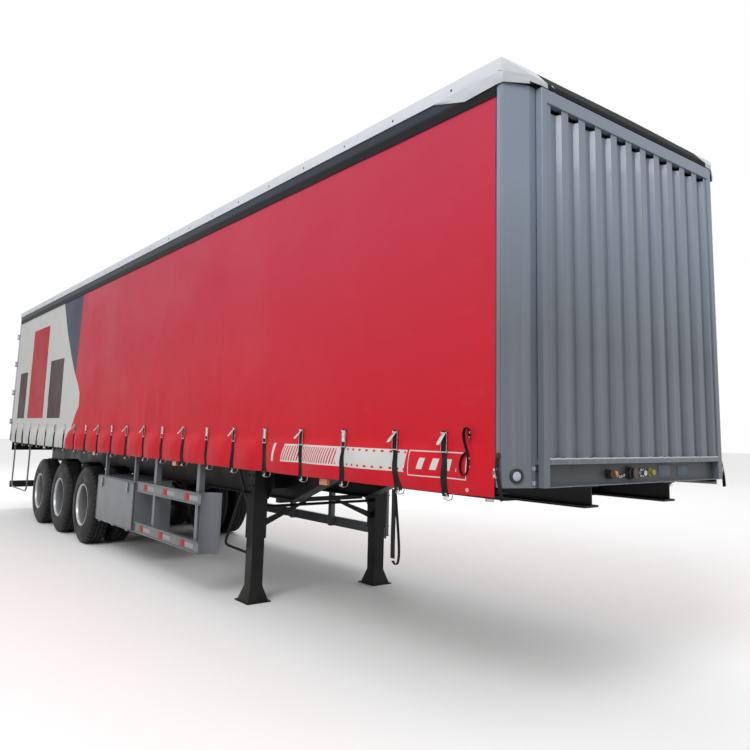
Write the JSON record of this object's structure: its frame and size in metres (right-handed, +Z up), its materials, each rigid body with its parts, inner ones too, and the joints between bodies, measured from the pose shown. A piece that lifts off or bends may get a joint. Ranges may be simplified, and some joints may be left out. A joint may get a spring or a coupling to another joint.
{
  "type": "curtain-side semi-trailer",
  "caption": "Curtain-side semi-trailer with a ribbed front wall, strapped side curtains, rear doors, twin-wheeled axles, landing legs and a kingpin.",
  "frame": {"origin": "on the ground, under the middle of the overall box", "axes": "+X forward to the front wall and kingpin, +Y to the left side, +Z up"},
  "size_m": [13.6, 2.556, 3.96],
  "materials": {
    "chassis_black": "satin black chassis paint",
    "body_grey": "grey gloss enamel",
    "guard_grey": "grey gloss enamel",
    "deck_board": "varnished hardwood boards",
    "bare_steel": "machined or zinc-plated steel",
    "coupling_metal": "cast couplings with coloured caps",
    "curtain_red": "PVC-coated curtain cloth, semi-gloss",
    "roof_white": "white PVC-coated roof cloth",
    "rail_black": "black curtain valance",
    "strap_black": "woven polyester webbing with plated buckles",
    "lamp_white": "clear moulded lens",
    "lamp_amber": "amber moulded lens",
    "lamp_red": "red moulded lens",
    "tyre": "black rubber",
    "rim_silver": "silver wheel paint"
  },
  "bodies": {
    "trailer": {"air_tank": "chassis_black", "axles": "chassis_black", "coupler_plate": "chassis_black", "cross_members": "chassis_black", "curtain_left": "curtain_red", "curtain_right": "curtain_red", "deck": "deck_board", "front_couplings": "coupling_metal", "front_frame": "body_grey", "front_lamps": "lamp_white", "front_post_left": "body_grey", "front_post_right": "body_grey", "front_sheet": "body_grey", "guard_tubes": "guard_grey", "kingpin": "bare_steel", "landing_braces": "chassis_black", "landing_crank": "chassis_black", "landing_feet": "chassis_black", "landing_legs": "chassis_black", "main_beams": "chassis_black", "marker_lamps": "lamp_amber", "rear_bumper": "chassis_black", "rear_header": "body_grey", "rear_lamps": "lamp_red", "rear_post_left": "body_grey", "rear_post_right": "body_grey", "rear_sill": "chassis_black", "roof_bows": "body_grey", "roof_rail_left": "rail_black", "roof_rail_right": "rail_black", "roof_tarp": "roof_white", "side_guard_left": "guard_grey", "side_guard_right": "guard_grey", "side_rail_left": "chassis_black", "side_rail_right": "chassis_black", "spring_hangers": "chassis_black", "springs": "chassis_black", "straps_left": "strap_black", "straps_right": "strap_black", "toolbox": "guard_grey"},
    "wheels_right_1": {"tyres_right_1": "tyre", "rims_right_1": "rim_silver"},
    "wheels_right_2": {"tyres_right_2": "tyre", "rims_right_2": "rim_silver"},
    "wheels_right_3": {"tyres_right_3": "tyre", "rims_right_3": "rim_silver"},
    "wheels_left_1": {"tyres_left_1": "tyre", "rims_left_1": "rim_silver"},
    "wheels_left_2": {"tyres_left_2": "tyre", "rims_left_2": "rim_silver"},
    "wheels_left_3": {"tyres_left_3": "tyre", "rims_left_3": "rim_silver"},
    "door_right": {"door_right": "body_grey", "door_gear_right": "bare_steel"},
    "door_left": {"door_left": "body_grey", "door_gear_left": "bare_steel"},
    "toolbox_lid": {"toolbox_lid": "guard_grey"}
  },
  "joints": [
    {"name": "wheels_right_1_turn", "type": "hinge", "parent": "trailer", "child": "wheels_right_1", "pos_m": [-1.53, 0, 0.54], "axis": [0, 1, 0], "continuous": true},
    {"name": "wheels_right_2_turn", "type": "hinge", "parent": "trailer", "child": "wheels_right_2", "pos_m": [-2.84, 0, 0.54], "axis": [0, 1, 0], "continuous": true},
    {"name": "wheels_right_3_turn", "type": "hinge", "parent": "trailer", "child": "wheels_right_3", "pos_m": [-4.15, 0, 0.54], "axis": [0, 1, 0], "continuous": true},
    {"name": "wheels_left_1_turn", "type": "hinge", "parent": "trailer", "child": "wheels_left_1", "pos_m": [-1.53, 0, 0.54], "axis": [0, 1, 0], "continuous": true},
    {"name": "wheels_left_2_turn", "type": "hinge", "parent": "trailer", "child": "wheels_left_2", "pos_m": [-2.84, 0, 0.54], "axis": [0, 1, 0], "continuous": true},
    {"name": "wheels_left_3_turn", "type": "hinge", "parent": "trailer", "child": "wheels_left_3", "pos_m": [-4.15, 0, 0.54], "axis": [0, 1, 0], "continuous": true},
    {"name": "door_right_swing", "type": "hinge", "parent": "trailer", "child": "door_right", "pos_m": [-6.784, -1.262, 2.5], "axis": [0, 0, 1], "range_deg": [0, 270]},
    {"name": "door_left_swing", "type": "hinge", "parent": "trailer", "child": "door_left", "pos_m": [-6.784, 1.262, 2.5], "axis": [0, 0, -1], "range_deg": [0, 270]},
    {"name": "toolbox_lid_drop", "type": "hinge", "parent": "trailer", "child": "toolbox_lid", "pos_m": [-0.055, -1.211, 0.42], "axis": [1, 0, 0], "range_deg": [0, 120]}
  ]
}
